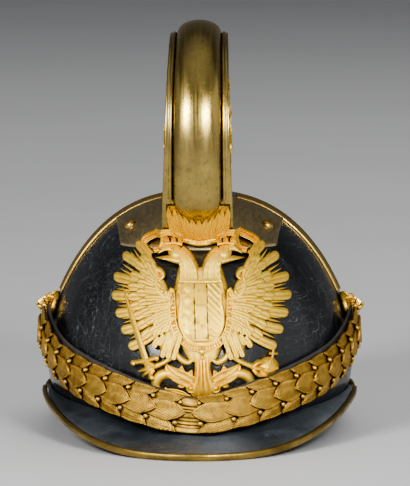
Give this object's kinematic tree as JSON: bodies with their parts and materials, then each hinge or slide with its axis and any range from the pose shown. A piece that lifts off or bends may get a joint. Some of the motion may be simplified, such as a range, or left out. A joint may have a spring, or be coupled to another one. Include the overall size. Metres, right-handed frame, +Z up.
{
  "type": "crested helmet",
  "caption": "Black leather parade helmet with a tall gilt comb, a double eagle badge, a scaled chin chain laid up over the front peak, and a neck guard.",
  "frame": {"origin": "on the ground under the middle of the helmet's length and width, as it stands on the tips of its two peaks", "axes": "+Z up to the top of the comb, -Y ahead over the front peak, +X to the right as seen from the front"},
  "size_m": [0.1944, 0.306, 0.2455],
  "materials": {
    "leather": "black varnish, crackled and scratched",
    "polished_brass": "gilt, polished",
    "olive_brass": "gilt, aged to olive brown",
    "matt_gilt": "gilt, pale and matt",
    "chain_gilt": "gilt, satin, darker in the hollows"
  },
  "bodies": {
    "root": {"skull": "leather", "front_peak": "leather", "neck_guard": "leather", "comb_side_left": "leather", "comb_side_right": "leather", "chin_strap_left": "leather", "chin_strap_right": "leather", "peak_trim": "olive_brass", "guard_trim": "olive_brass", "front_plate": "olive_brass", "comb_ridge": "polished_brass", "eagle_badge": "matt_gilt", "band_left": "matt_gilt", "band_right": "matt_gilt", "plate_rivet_left": "matt_gilt", "plate_rivet_right": "matt_gilt", "comb_relief_left": "matt_gilt", "comb_relief_right": "matt_gilt", "boss_left": "matt_gilt", "boss_right": "matt_gilt", "hook_plate": "chain_gilt", "scale_right_1": "chain_gilt", "scale_right_2": "chain_gilt", "scale_right_3": "chain_gilt", "scale_right_4": "chain_gilt", "scale_right_5": "chain_gilt", "scale_right_6": "chain_gilt", "scale_right_7": "chain_gilt", "scale_right_8": "chain_gilt", "scale_right_9": "chain_gilt", "scale_right_10": "chain_gilt", "scale_left_1": "chain_gilt", "scale_left_2": "chain_gilt", "scale_left_3": "chain_gilt", "scale_left_4": "chain_gilt", "scale_left_5": "chain_gilt", "scale_left_6": "chain_gilt", "scale_left_7": "chain_gilt", "scale_left_8": "chain_gilt", "scale_left_9": "chain_gilt"}
  },
  "joints": []
}
